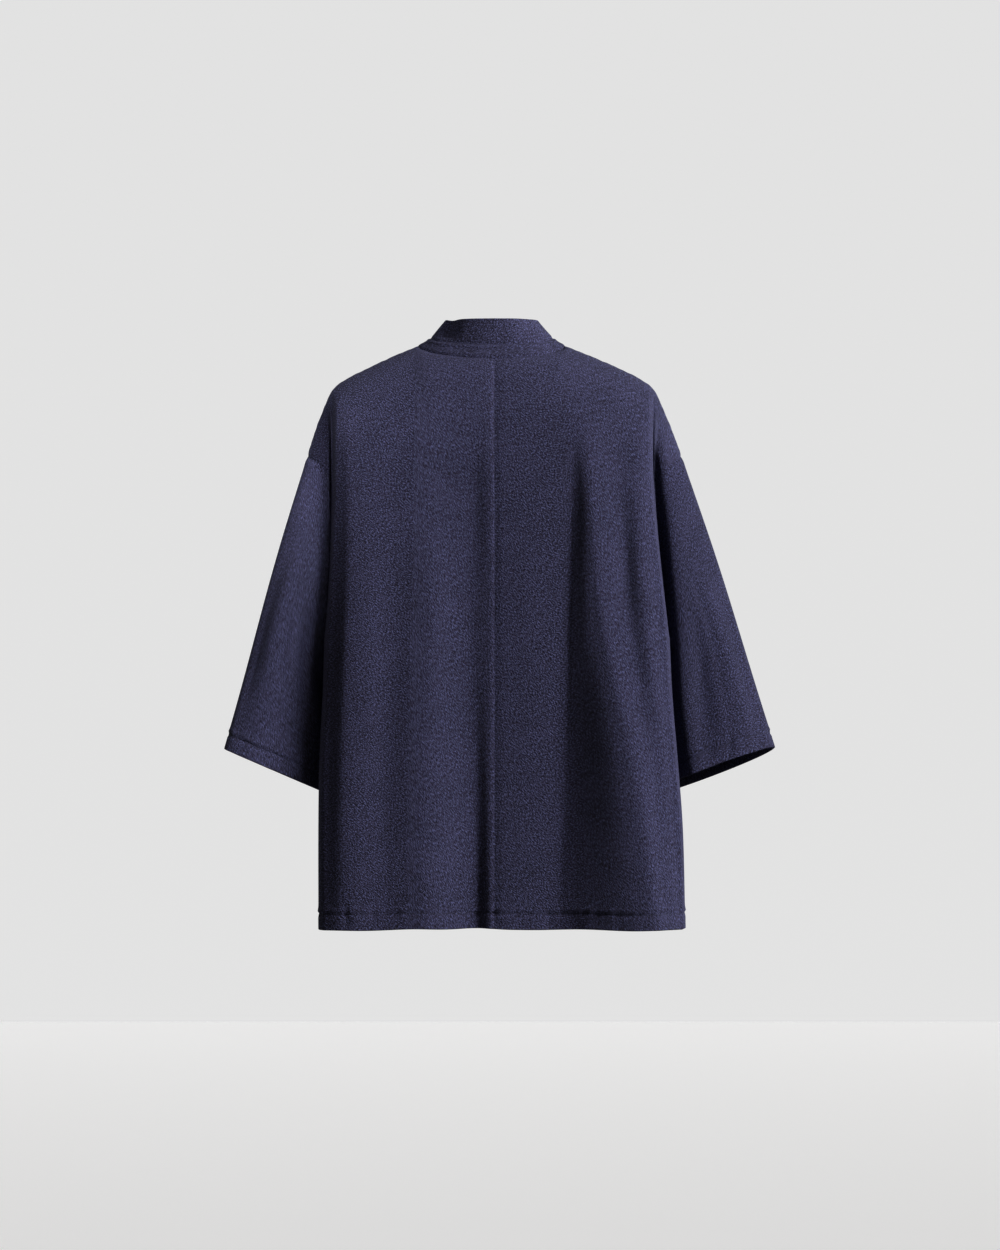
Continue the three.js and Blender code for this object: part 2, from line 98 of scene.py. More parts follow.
# Long folds of the back: the x where each line runs and how far it stands out, at each of the levels.
BACK_LINES = {
    "left edge": ((0.200, 0.200, 0.206, 0.213, 0.214), (0, 0.003, 0.009, 0.010, 0.011)),
    "outer ridge": ((0.184, 0.184, 0.184, 0.189, 0.192), (0, 0.008, 0.016, 0.016, 0.014)),
    "outer valley": ((0.126, 0.122, 0.120, 0.128, 0.130), (0, 0.003, 0.003, 0.002, 0.003)),
    "inner ridge": ((0.090, 0.092, 0.084, 0.094, 0.094), (0, 0.001, 0.001, 0.002, 0.003)),
    "inner valley": ((0.026, 0.024, 0.030, 0.022, 0.019), (0, -0.008, -0.015, -0.020, -0.024)),
    "seam slope": ((0.012, 0.010, 0.010, 0.008, 0.008), (0, -0.005, -0.0125, -0.015, -0.017)),
    "centre seam": ((0, 0, 0, 0, 0), (0, -0.004, -0.011, -0.014, -0.015)),
    "flat middle": ((-0.050, -0.050, -0.050, -0.050, -0.044), (0, -0.004, -0.010, -0.013, -0.014)),
    "main valley": ((-0.088, -0.096, -0.092, -0.087, -0.078), (0, -0.005, -0.011, -0.014, -0.014)),
    "roll foot": ((-0.096, -0.103, -0.099, -0.097, -0.089), (0, -0.003, -0.008, -0.011, -0.011)),
    "roll shoulder": ((-0.108, -0.116, -0.126, -0.160, -0.184), (0, 0.004, 0.004, 0.018, 0.023)),
    "main roll": ((-0.114, -0.123, -0.136, -0.176, -0.202), (0, 0.006, 0.007, 0.021, 0.026)),
    "side valley": ((-0.156, -0.158, -0.168, -0.200, -0.218), (0, 0.001, 0.003, 0.014, 0.018)),
    "side ridge": ((-0.186, -0.182, -0.190, -0.210, -0.226), (0, 0.006, 0.009, 0.011, 0.012)),
    "right edge": ((-0.199, -0.202, -0.212, -0.228, -0.237), (0, 0.001, 0.003, 0.003, 0.002)),
}
# Small creases: from x, z to end_x, end_z, with half their width and their height.
CREASE = ("x", "z", "end_x", "end_z", "half", "height")
BACK_CREASES = (
    (0.190, -0.090, 0.196, -0.400, 0.010, -0.0012),
    (0.150, -0.180, 0.163, -0.720, 0.012, 0.0008),
    (0.100, -0.240, 0.112, -0.760, 0.014, 0.0008),
    (0.055, -0.130, 0.062, -0.560, 0.012, -0.0008),
    (-0.040, -0.160, -0.036, -0.520, 0.016, 0.0008),
    (-0.110, -0.110, -0.116, -0.460, 0.010, 0.0010),
    (-0.163, -0.170, -0.166, -0.380, 0.010, -0.0018),
    (-0.200, -0.400, -0.214, -0.800, 0.010, -0.0012),
    (0.188, -0.694, 0.183, -0.740, 0.004, -0.0022),
    (-0.067, -0.700, -0.071, -0.750, 0.004, -0.0022),
)


def ease(value, low, high):
    """Smooth rise from 0 to 1 as a value goes from low to high."""
    t = np.clip((value - low) / (high - low), 0, 1)
    return t * t * (3 - 2 * t)


def blend(a, b, t):
    return a + (b - a) * t


def cubic(a, b, slope_a, slope_b, t):
    """Cubic from a to b with the slopes wanted at its ends."""
    rise = t * t * (3 - 2 * t)
    return a * (1 - rise) + b * rise + slope_a * t * (1 - t) ** 2 - slope_b * t * t * (1 - t)


def unit(v):
    return v / np.maximum(np.linalg.norm(v, axis=-1, keepdims=True), 1e-9)


def read(table, column, z):
    """A column of a table whose rows go downwards, on a smooth curve through the rows."""
    rows = np.array(table["z"])
    values = np.array(table[column])
    before = np.maximum(np.arange(len(rows)) - 1, 0)
    after = np.minimum(np.arange(len(rows)) + 1, len(rows) - 1)
    slopes = (values[after] - values[before]) / (rows[after] - rows[before])
    z = np.clip(z, rows[-1], rows[0])
    k = np.clip(np.searchsorted(-rows, -z, side="right") - 1, 0, len(rows) - 2)
    span = rows[k + 1] - rows[k]
    return cubic(values[k], values[k + 1], slopes[k] * span, slopes[k + 1] * span, (z - rows[k]) / span)


def sway(z):
    return -SWAY * ease(z, UNDERARM_Z, HEM_Z)


def smooth_line(points, shares):
    """Places at shares of the length of a smooth line through the points."""
    chain = np.vstack([2 * points[0] - points[1], points, 2 * points[-1] - points[-2]])
    fine = []
    for a, b, c, d in zip(chain, chain[1:], chain[2:], chain[3:]):
        before, here, after = (np.linalg.norm(q - p) ** 0.5 for p, q in ((a, b), (b, c), (c, d)))
        slope_b = ((b - a) / before - (c - a) / (before + here) + (c - b) / here) * here
        slope_c = ((c - b) / here - (d - b) / (here + after) + (d - c) / after) * here
        fine.append(cubic(b, c, slope_b, slope_c, np.linspace(0, 1, 60)[:, None]))
    fine = np.vstack(fine)
    lengths = np.r_[0, np.cumsum(np.linalg.norm(np.diff(fine, axis=0), axis=1))]
    at = np.asarray(shares) * lengths[-1]
    return np.stack([np.interp(at, lengths, fine[:, k]) for k in range(3)], axis=-1)


def shoulder_points(side, across):
    """Shoulder line, from the side of the neck (1) by its corner (2) to the top of the armhole (3)."""
    x = SIDES[side] * np.array(SHOULDER_LINE[side])
    points = np.stack([x, np.zeros_like(x), np.array(SHOULDER_LINE["z"])], axis=-1)
    past = np.clip(across - 2, 0, 1)
    shares = CORNER_SHARE * np.clip(across - 1, 0, 1) + (1 - CORNER_SHARE) * past
    return smooth_line(points, shares)


def top_points(side, across):
    """Back neck seam from the centre back (0) to the side of the neck (1), then the shoulder line."""
    turn = np.pi / 2 * np.clip(across, 0, 1)
    neck = np.stack([
        SIDES[side] * SHOULDER_LINE[side][0] * np.sin(turn),
        NECK_DEPTH * np.cos(turn),
        -NECK_DROP * np.cos(turn),
    ], axis=-1)
    return np.where(across[:, None] <= 1, neck, shoulder_points(side, across))


def hanging_top(side, first, down, across):
    """Top edge as each row takes it: the cut edge at the top, and a softened line further down."""
    fine = np.linspace(first, 2, 401)
    line = top_points(side, fine)
    before = line[SOFTENED:0:-1] * (-1, 1, 1) if first == 0 else 2 * line[0] - line[SOFTENED:0:-1]
    after = 2 * line[-1] - line[-2:-2 - SOFTENED:-1]
    chain = np.concatenate([before, line, after])
    weights = np.hanning(SOFTENED + 1)
    trim = slice(SOFTENED // 2, SOFTENED // 2 + len(fine))
    soft = np.stack([np.convolve(chain[:, k], weights / weights.sum(), "valid")[trim] for k in range(3)], -1)
    cut = np.stack([np.interp(across, fine, line[:, k]) for k in range(3)], axis=-1)
    low = np.stack([np.interp(across, fine, soft[:, k]) for k in range(3)], axis=-1)
    return cut[None] + (low - cut)[None] * ease(down, 0, SOFTENED_BY)[:, None, None]


def armhole_points(side, down, face):
    """Armhole loop, from its top (0) to the underarm (1), behind (1) or in front (-1)."""
    turn = np.pi * np.clip(down, 0, 1)
    share = (1 - np.cos(turn)) / 2
    top_x = SHOULDER_LINE[side][-1]
    return np.stack([
        SIDES[side] * (UNDERARM_X + (top_x - UNDERARM_X) * (1 - share) ** 8),
        face * ARMHOLE_DEPTH[face] * np.clip(np.sin(turn), 0, 1) ** 0.7,
        blend(ARMHOLE_TOP_Z, UNDERARM_Z, share),
    ], axis=-1)


def side_seam(side, z):
    return SIDES[side] * read(SIDE_SEAM, "x", z) + sway(z)


def row_height(top_z, down):
    """Height of a row: from the top edge (0) to the underarm (1), and on to the hem (2)."""
    even = np.clip(down, 0, 1)
    share = (even * even + (1 - np.cos(np.pi * even)) / 2) / 2
    skirt = blend(UNDERARM_Z, HEM_Z, np.clip(down - 1, 0, 1))
    return np.where(down > 1, skirt, blend(top_z, UNDERARM_Z, share))


def cap(drop, height, power):
    """Share of the way out from the shoulder line to the hanging cloth: a quarter round."""
    left = 1 - np.clip(drop / height, 0, 1)
    return (1 - left ** power) ** (1 / power)


def line_height(lines, x, z):
    """Height of the long folds, on a smooth curve across that turns level at each ridge and valley."""
    places, heights = (
        [read({"z": LEVELS, "line": row[k]}, "line", z) for row in lines.values()] for k in (0, 1))
    spans = [after - before for before, after in zip(places, places[1:])]
    rises = [(after - before) / span for before, after, span in zip(heights, heights[1:], spans)]
    level = np.zeros_like(x)
    slopes = [np.where(a * b > 0, 2 * a * b / (a + b + 1e-12), 0) for a, b in zip(rises, rises[1:])]
    slopes = [level, *slopes, level]
    total = heights[0]
    for n, span in enumerate(spans):
        t = np.clip((x - places[n]) / span, 0, 1)
        step = cubic(heights[n], heights[n + 1], slopes[n] * span, slopes[n + 1] * span, t)
        total = total + step - heights[n]
    return total


def crease_height(creases, x, z):
    """Sum of the small soft creases, each along a line and fading out at its ends."""
    total = np.zeros_like(x)
    for row in creases:
        c = dict(zip(CREASE, row))
        way = np.array([c["end_x"] - c["x"], c["end_z"] - c["z"]])
        length = np.linalg.norm(way)
        along = ((x - c["x"]) * way[0] + (z - c["z"]) * way[1]) / length ** 2
        off = ((x - c["x"]) * way[1] - (z - c["z"]) * way[0]) / length
        total += c["height"] * np.exp(-(off / c["half"]) ** 2) * np.sin(np.pi * np.clip(along, 0, 1)) ** 2
    return total


def sleeve_valley(side, points):
    """How far the cloth sinks in the valley that runs down from the shoulder between back and sleeve."""
    x, y, z = np.moveaxis(points, -1, 0)
    past = np.clip(np.abs(x - sway(z)) - read(BACK_EDGE, side, z), 0, 1)
    depth = VALLEY_DEPTH[side] * np.exp(-(past / VALLEY_WIDTH[side]) ** 2)
    depth = depth * ease(y, *VALLEY_BEHIND) * ease(z, *VALLEY_START)
    return np.stack([0 * x, depth, 0 * x], axis=-1)


def flank(side, face, hang, down, across):
    """Cloth that rolls from a panel's side edge round to the armhole and the side seam."""
    inner, edge = np.moveaxis(hang(side, down, np.array([2 - CORNER_STEP, 2.0])), 1, 0)
    z = row_height(0, down)
    seam = np.stack([side_seam(side, z), np.zeros_like(z), z], axis=-1)
    outer = np.where(down[:, None] > 1, seam, armhole_points(side, down, face))
    sunk = ease(down, *UNDER_THE_SHOULDER)[:, None]
    approach = blend(ON_ARM, IN_VALLEY, sunk) * np.array([SIDES[side], -face, -1])
    reach = np.linalg.norm(outer - edge, axis=-1)[:, None]
    slope = unit(edge - inner) * FLANK_ROLL * reach
    t = (across - 2)[None, :, None]
    points = cubic(edge[:, None], outer[:, None], slope[:, None], (approach * reach)[:, None], t)
    over = shoulder_points(side, across) - points[0]
    points = points + (1 - ease(down, 0, ARM_LINE_ENDS))[:, None, None] * over
    return points - sleeve_valley(side, points) * ease(across, 2, VALLEY_EDGE)[None, :, None]


def back_hang(side, down, across):
    """The hanging part of a back half, from the centre back seam out to its side edge."""
    top_x, top_y, top_z = np.moveaxis(hanging_top(side, 0, down, across), -1, 0)
    z = row_height(top_z, down[:, None])
    share = top_x / shoulder_points(side, np.array([2.0]))[0, 0]
    edge_x = SIDES[side] * read(BACK_EDGE, side, z)
    x = blend(top_x, edge_x * share, ease(z, top_z, UNDERARM_Z))
    out = blend(read(DEPTHS, "back", z), read(DEPTHS, "back_edge", z), share ** 3)
    y = blend(top_y, out, cap(top_z - z, BACK_ROUND, blend(*ROUND_POWER, share)))
    y = y + line_height(BACK_LINES, x, z)
    return np.stack([x, y, z], axis=-1)


def seam_steps(start, end, count, near):
    """Steps from start to end that grow finer towards both ends, where the seams are."""
    even = np.linspace(0, 1, count)
    return start + (end - start) * blend(even, (1 - np.cos(np.pi * even)) / 2, near)


def arc(points, axis):
    """Distance along the rows (axis 1) or down the columns (axis 0) of a net of points."""
    steps = np.linalg.norm(np.diff(points, axis=axis), axis=-1)
    return np.insert(np.cumsum(steps, axis=axis), 0, 0, axis=axis)


def net_normals(points, outwards, ring=False):
    """Directions that point out of the cloth at each point of its net."""
    if ring:
        wide = np.concatenate([points[:, -2:-1], points, points[:, 1:2]], axis=1)
        across = (wide[:, 2:] - wide[:, :-2])
    else:
        across = np.gradient(points, axis=1)
    down = np.gradient(points, axis=0)
    return unit(np.cross(across, down)) * outwards


def ripple(along, seed, length):
    """Uneven little waves of about the given length, from -1 to 1, the same each time for one seed."""
    rng = np.random.default_rng(seed)
    total = 0
    for stretch in (1.0, 1.47, 0.63):
        total = total + np.sin(2 * np.pi * along / (length * stretch) + rng.uniform(0, 2 * np.pi))
    return total / 3


def groove(distance, width):
    return np.exp(-(distance / width) ** 2)


def sewn_edge(distance, along, seed):
    """Height of the cloth beside a seam: a dip at the seam and small puckers that die out."""
    pucker = 0.00045 * ripple(along, seed, 0.019) * groove(distance - 0.004, 0.006)
    return pucker - SEAM_DIP * groove(distance, SEAM_WIDTH)


def hem_edge(distance, along, seed):
    """Height of the cloth at a turned-up hem: a stitched groove, puckers and a soft full edge."""
    pucker = 0.0006 * ripple(along, seed, 0.023) * groove(distance - TURN_UP, 0.008)
    wave = 0.0007 * ripple(along, seed + 1, 0.052) * (1 - ease(distance, 0, 0.030))
    lip = 0.0008 * groove(distance - TURN_UP - 0.0035, 0.0028)
    return pucker + wave + lip - HEM_DIP * groove(distance - TURN_UP, 0.0020)


def turn_up(points, normals, length):
    """The net with its last rows turned up inside by the given length."""
    height = arc(points, 0)
    count = int(np.searchsorted(np.median(height[-1] - height[::-1], axis=1), length)) + 1
    edge = points[-1:] - normals[-1:] * CLOTH - np.array([0, 0, 0.0006])
    inside = points[-2:-1 - count:-1] - normals[-2:-1 - count:-1] * 2 * CLOTH
    return np.concatenate([points, edge, inside])


def seam_allowance(points, outwards, first, last):
    """The net with the cloth turned inwards past its sewn sides and its top edge."""
    normals = net_normals(points, outwards)
    if last:
        points = np.concatenate([points, points[:, -1:] - normals[:, -1:] * ALLOWANCE], axis=1)
        normals = np.concatenate([normals, normals[:, -1:]], axis=1)
    if first:
        points = np.concatenate([points[:, :1] - normals[:, :1] * ALLOWANCE, points], axis=1)
        normals = np.concatenate([normals[:, :1], normals], axis=1)
    return np.concatenate([points[:1] - normals[4:5] * ALLOWANCE, points], axis=0)


def cloth_piece(name, points, turn, flip, material, ring=False, thickness=CLOTH):
    """A piece of cloth from its net of points, with texture lengths in metres, given its thickness."""
    u, v = arc(points, 1), -arc(points, 0)
    u = turn * (u if ring else u - u[:, :1])
    if flip:
        points, u, v = points[:, ::-1], u[:, ::-1], v[:, ::-1]
    rows, columns = points.shape[:2]
    bpy.ops.object.select_all(action="DESELECT")
    bpy.ops.mesh.primitive_grid_add(x_subdivisions=columns - 1, y_subdivisions=rows - 1, size=1)
    obj = bpy.context.object
    obj.name = name
    mesh = obj.data
    mesh.vertices.foreach_set("co", points.reshape(-1).astype(np.float32))
    corners = np.zeros(len(mesh.loops), np.int32)
    mesh.loops.foreach_get("vertex_index", corners)
    places = np.stack([u.reshape(-1), v.reshape(-1)], axis=-1)[corners]
    mesh.uv_layers[0].data.foreach_set("uv", places.reshape(-1).astype(np.float32))
    mesh.update()
    if ring:
        bpy.ops.object.mode_set(mode="EDIT")
        bpy.ops.mesh.select_all(action="SELECT")
        bpy.ops.mesh.remove_doubles(threshold=0.00001)
        bpy.ops.mesh.normals_make_consistent(inside=False)
        bpy.ops.object.mode_set(mode="OBJECT")
    bpy.ops.object.modifier_add(type="SOLIDIFY")
    obj.modifiers[-1].thickness = thickness
    obj.modifiers[-1].offset = 0
    bpy.ops.object.modifier_apply(modifier=obj.modifiers[-1].name)
    bpy.ops.object.shade_smooth_by_angle(angle=math.radians(60))
    mesh.materials.clear()
    mesh.materials.append(material)
    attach(obj, "root")
    return obj


class Wire:
    """A shader socket. Sums and products of wires make maths nodes, and node() makes any other kind."""

    def __init__(self, tree, socket=None):
        self.tree = tree
        self.socket = socket

    def node(self, kind, settings=None, values=None, out=0):
        made = self.tree.nodes.new(kind)
        for name, value in (settings or {}).items():
            setattr(made, name, value)
        for name, value in (values or {}).items():
            if isinstance(value, Wire):
                self.tree.links.new(value.socket, made.inputs[name])
            else:
                made.inputs[name].default_value = value
        return Wire(self.tree, made.outputs[out])

    def maths(self, operation, *terms):
        return self.node("ShaderNodeMath", {"operation": operation}, dict(enumerate(terms)))

    def __add__(self, other):
        return self.maths("ADD", self, other)

    def __mul__(self, other):
        return self.maths("MULTIPLY", self, other)

    def __sub__(self, other):
        return self.maths("SUBTRACT", self, other)

    def __rsub__(self, other):
        return self.maths("SUBTRACT", other, self)

    __radd__ = __add__
    __rmul__ = __mul__

    def rise(self, low, high):
        """0 below low and 1 above high, with a smooth rise between."""
        settings = {"interpolation_type": "SMOOTHSTEP"}
        return self.node("ShaderNodeMapRange", settings, {"Value": self, "From Min": low, "From Max": high})

    def colours(self, first, second):
        """First colour where this wire is 0 and second where it is 1."""
        return self.node("ShaderNodeMix", {"data_type": "RGBA"}, {0: self, 6: first, 7: second}, out=2)


def crepe(name, navy, dark, fleck):
    """Matt navy crepe: a dry crinkled weave with short slanting flecks of lighter and darker yarn."""
    material = bpy.data.materials.new(name)
    material.use_nodes = True
    tree = material.node_tree
    shader = tree.nodes["Principled BSDF"]
    wire = Wire(tree)
    place = wire.node("ShaderNodeUVMap")

    def grain(angle, across, along, detail):
        turned = wire.node("ShaderNodeMapping", {"vector_type": "TEXTURE"}, {
            "Vector": place, "Rotation": (0, 0, math.radians(angle)), "Scale": (1 / along, 1 / across, 1)})
        return wire.node("ShaderNodeTexNoise", {"noise_dimensions": "2D"}, {
            "Vector": turned, "Scale": 1.0, "Detail": detail, "Roughness": 0.6})

    light = grain(-54, 820, 300, 1.0)
    deep = grain(-46, 720, 270, 1.0)
    weave = grain(0, 1500, 1500, 1.0)
    cloud = grain(20, 24, 12, 3.0)
    low, high = ((navy[0] * k * 1.04, navy[1] * k, navy[2] * k, 1) for k in (0.72, 1.30))
    heather = (weave * 0.7 + cloud * 0.3).rise(0.42, 0.58).colours(low, high)
    flecked = (deep.rise(0.50, 0.62) * 0.85).colours(heather, dark)
    flecked = (light.rise(0.53, 0.66) * 0.9).colours(flecked, fleck)
    tree.links.new(flecked.socket, shader.inputs["Base Color"])
    height = light * 0.6 - deep * 0.5 + weave * 0.35 + cloud * 0.5
    bump = wire.node("ShaderNodeBump", {}, {"Height": height, "Strength": 1.0, "Distance": 0.0023})
    tree.links.new(bump.socket, shader.inputs["Normal"])
    shader.inputs["Roughness"].default_value = 0.92
    shader.inputs["Specular IOR Level"].default_value = 0.18
    shader.inputs["Sheen Weight"].default_value = 0.10
    shader.inputs["Sheen Roughness"].default_value = 0.55
    shader.inputs["Sheen Tint"].default_value = (0.45, 0.48, 0.75, 1)
    return material


NAVY = (0.046, 0.044, 0.084, 1)
DARK_YARN = (0.016, 0.014, 0.022, 1)
LIGHT_YARN = (0.110, 0.118, 0.230, 1)
navy_crepe = crepe("navy crepe", NAVY, DARK_YARN, LIGHT_YARN)
seam_lines = []
back_across = np.r_[seam_steps(0, 1, 34, 0.35), seam_steps(1, 2, 44, 0)[1:], seam_steps(2, 3, 40, 0.5)[1:]]
back_down = np.r_[seam_steps(0, 1, 120, 0)[:-1], np.linspace(1, 2, 130)]
for side, sign in SIDES.items():
    hanging = back_across <= 2
    points = np.concatenate([
        back_hang(side, back_down, back_across[hanging]),
        flank(side, 1, back_hang, back_down, back_across[~hanging]),
    ], axis=1)
    normals = net_normals(points, sign)
    out, fall = arc(points, 1), arc(points, 0)
    to_edge = out[:, -1:] - out
    to_hem = fall[-1:] - fall
    height = crease_height(BACK_CREASES, points[..., 0], points[..., 2])
    height += sewn_edge(to_edge, fall, 11) + sewn_edge(fall, out, 12) + hem_edge(to_hem, out, 13)
    height -= NECK_DIP * groove(fall, SEAM_WIDTH) * ease(np.abs(points[..., 0]), *NECK_ENDS)
    height += 0.0003 * ripple(fall, 14, 0.024) * groove(out - 0.004, 0.005)
    height -= CENTRE_DIP * groove(out, CENTRE_WIDTH[side])
    points = points + normals * height[..., None]
    uneven = 0.0014 * ripple(points[..., 0], 15, 0.170) + 0.0025 * groove(points[..., 0] - 0.024, 0.030)
    points[..., 2] += uneven * (1 - ease(to_hem, 0, 0.090))
    seam_lines.append((points, normals, to_hem - TURN_UP))
    points = turn_up(points, normals, TURN_UP)
    points = seam_allowance(points, sign, True, True)
    half = cloth_piece("back_half_" + side, points, -sign, sign < 0, navy_crepe)
    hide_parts("back_" + side)


# Fronts
# Two panels of the same crepe from the shoulder line to the hem, between the collar band and the side.
# Each is sewn to the back at the shoulder and side seam, and its hem is turned up like the back's.
FRONT_EDGE_X = 0.084
FRONT_ROUND = 0.160
FOLD = ("x", "hem_x", "half", "hem_half", "height", "hem_height", "start", "full")
FRONT_FOLDS = (
    (0.128, 0.136, 0.022, 0.030, 0.005, 0.011, -0.120, -0.420),
    (0.160, 0.176, 0.018, 0.022, -0.003, -0.006, -0.180, -0.420),
    (-0.122, -0.134, 0.022, 0.028, 0.005, 0.009, -0.140, -0.450),
    (-0.150, -0.172, 0.018, 0.024, -0.004, -0.007, -0.200, -0.450),
)
FRONT_CREASES = (
    (0.104, -0.130, 0.108, -0.520, 0.010, -0.0016),
    (0.150, -0.110, 0.142, -0.360, 0.010, -0.0014),
    (0.112, -0.420, 0.110, -0.790, 0.010, -0.0018),
    (0.150, -0.400, 0.158, -0.800, 0.009, 0.0014),
    (-0.100, -0.120, -0.106, -0.440, 0.010, -0.0014),
    (-0.140, -0.100, -0.134, -0.400, 0.010, -0.0016),
    (-0.108, -0.400, -0.112, -0.790, 0.010, -0.0018),
    (-0.156, -0.460, -0.152, -0.800, 0.009, 0.0014),
)


def fold_height(folds, x, z):
    """Sum of the hanging folds, which grow from their start down to the hem."""
    total = np.zeros_like(x)
    for row in folds:
        f = dict(zip(FOLD, row))
        down = np.clip((z - f["full"]) / (HEM_Z - f["full"]), 0, 1)
        middle = blend(f["x"], f["hem_x"], np.clip(z / HEM_Z, 0, 1))
        away = np.clip(np.abs(x - middle) / blend(f["half"], f["hem_half"], down), 0, 1)
        height = blend(f["height"], f["hem_height"], down) * ease(z, f["start"], f["full"])
        total += height * (1 + np.cos(np.pi * away)) / 2
    return total


def front_hang(side, down, across):
    """The hanging part of a front, from the collar band's seam out to its side edge."""
    sign = SIDES[side]
    top_x, top_y, top_z = np.moveaxis(hanging_top(side, 1, down, across), -1, 0)
    start, corner = shoulder_points(side, np.array([1.0, 2.0]))[:, 0]
    z = row_height(top_z, down[:, None])
    share = (top_x - start) / (corner - start)
    edge_x = side_seam(side, np.minimum(z, UNDERARM_Z)) - sign * 0.003
    low = blend(sign * FRONT_EDGE_X + sway(z), edge_x, share)
    x = blend(top_x, low, ease(z, top_z, UNDERARM_Z))
    out = blend(read(DEPTHS, "front", z), read(DEPTHS, "front_edge", z), share ** 2)
    y = out * cap(top_z - z, FRONT_ROUND, blend(*ROUND_POWER, share)) - fold_height(FRONT_FOLDS, x, z)
    return np.stack([x, y, z], axis=-1)


front_across = np.r_[seam_steps(1, 2, 40, 0.35), seam_steps(2, 3, 36, 0.5)[1:]]
front_down = np.r_[seam_steps(0, 1, 110, 0)[:-1], np.linspace(1, 2, 110)]
front_edges = {}
for side, sign in SIDES.items():
    hanging = front_across <= 2
    points = np.concatenate([
        front_hang(side, front_down, front_across[hanging]),
        flank(side, -1, front_hang, front_down, front_across[~hanging]),
    ], axis=1)
    front_edges[side] = points[:, 0].copy()
    normals = net_normals(points, -sign)
    out, fall = arc(points, 1), arc(points, 0)
    to_edge = out[:, -1:] - out
    to_hem = fall[-1:] - fall
    height = crease_height(FRONT_CREASES, points[..., 0], points[..., 2])
    height += sewn_edge(to_edge, fall, 21) + sewn_edge(fall, out, 12) + hem_edge(to_hem, out, 23)
    height += sewn_edge(out, fall, 24)
    points = points + normals * height[..., None]
    seam_lines.append((points, normals, to_hem - TURN_UP))
    points = seam_allowance(turn_up(points, normals, TURN_UP), -sign, True, True)
    front = cloth_piece("front_panel_" + side, points, sign, sign > 0, navy_crepe)
    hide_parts("front_" + side)


# Sleeves
# Wide three-quarter sleeves of the same crepe, sewn round the armhole with a seam under the arm.
# They hang beside the body with a few long soft folds, and their cuffs are turned up and stitched.
CUFF = ("x", "z", "slope", "half", "depth", "lean", "edge")
CUFFS = {
    "left": (0.343, -0.510, 23.2, 0.083, 0.043, 2.5, 16.1),
    "right": (0.356, -0.508, 20.6, 0.083, 0.043, 10, 17.8),
}
CUFF_Y = -0.018
PINCH_X = -0.298
PINCH_UP = 0.014
PINCH_DEPTH = 0.0024
SLEEVE_FOLD = ("angle", "half", "height", "peak", "reach")
SLEEVE_FOLDS = {
    "left": (
        (58, 26, 0.006, 0.55, 0.60),
        (102, 20, -0.006, 0.60, 0.60),
        (128, 16, 0.003, 0.70, 0.40),
        (-60, 30, 0.004, 0.60, 0.50),
        (-110, 26, -0.004, 0.50, 0.50),
        (30, 12, -0.0012, 0.65, 0.50),
        (82, 9, 0.0010, 0.45, 0.30),
    ),
    "right": (
        (52, 20, 0.005, 0.70, 0.50),
        (90, 20, -0.007, 0.70, 0.50),
        (122, 20, 0.004, 0.60, 0.50),
        (-70, 30, 0.004, 0.50, 0.50),
        (-118, 26, -0.004, 0.60, 0.50),
        (68, 9, -0.0010, 0.45, 0.35),
        (24, 12, 0.0012, 0.60, 0.45),
    ),
}


def sleeve_points(side, turn, share):
    """Sleeve net: turn goes round from the top edge by the back and the front, share down to the cuff."""
    sign = SIDES[side]
    c = dict(zip(CUFF, CUFFS[side]))
    slope, lean, edge = (math.radians(c[name]) for name in ("slope", "lean", "edge"))
    along = np.array([sign * math.cos(slope), 0, math.sin(slope)])
    across = np.array([0, math.cos(lean), math.sin(lean)])
    middle = np.array([sign * c["x"], CUFF_Y, c["z"]]) - along * c["half"]
    behind = turn <= 180.0
    start = np.where(
        behind[:, None],
        armhole_points(side, turn / 180, 1),
        armhole_points(side, 2 - turn / 180, -1),
    )
    angle = np.radians(turn)[:, None]
    end = middle + along * c["half"] * np.cos(angle) + across * c["depth"] * np.sin(angle)
    length = np.linalg.norm(end - start, axis=-1)[:, None]
    under = np.sin(angle / 2) ** 2
    out = blend(math.sin(edge), 0.75, under) + 0.45 * np.abs(np.sin(angle))
    leave = np.concatenate([sign * out, 0 * out, -blend(math.cos(edge), 0.65, under)], axis=1) * length
    arrive = np.array([sign * math.sin(edge), 0, -math.cos(edge)]) * length
    points = cubic(start[None], end[None], leave[None], arrive[None], share[:, None, None])
    outward = np.concatenate([sign * np.cos(angle), np.sin(angle), 0 * angle], axis=1)
    total = np.zeros(points.shape[:2])
    for row in SLEEVE_FOLDS[side]:
        f = dict(zip(SLEEVE_FOLD, row))
        off = np.abs((turn - f["angle"] + 180) % 360 - 180) / f["half"]
        past = np.abs(share - f["peak"]) / f["reach"]
        round_part = (1 + np.cos(np.pi * np.clip(off, 0, 1))) / 2
        long_part = (1 + np.cos(np.pi * np.clip(past, 0, 1))) / 2
        total += f["height"] * long_part[:, None] * round_part[None, :]
    total *= ease(share, 0, 0.25)[:, None]
    points = points + outward[None] * total[..., None]
    return points - sleeve_valley(side, points)


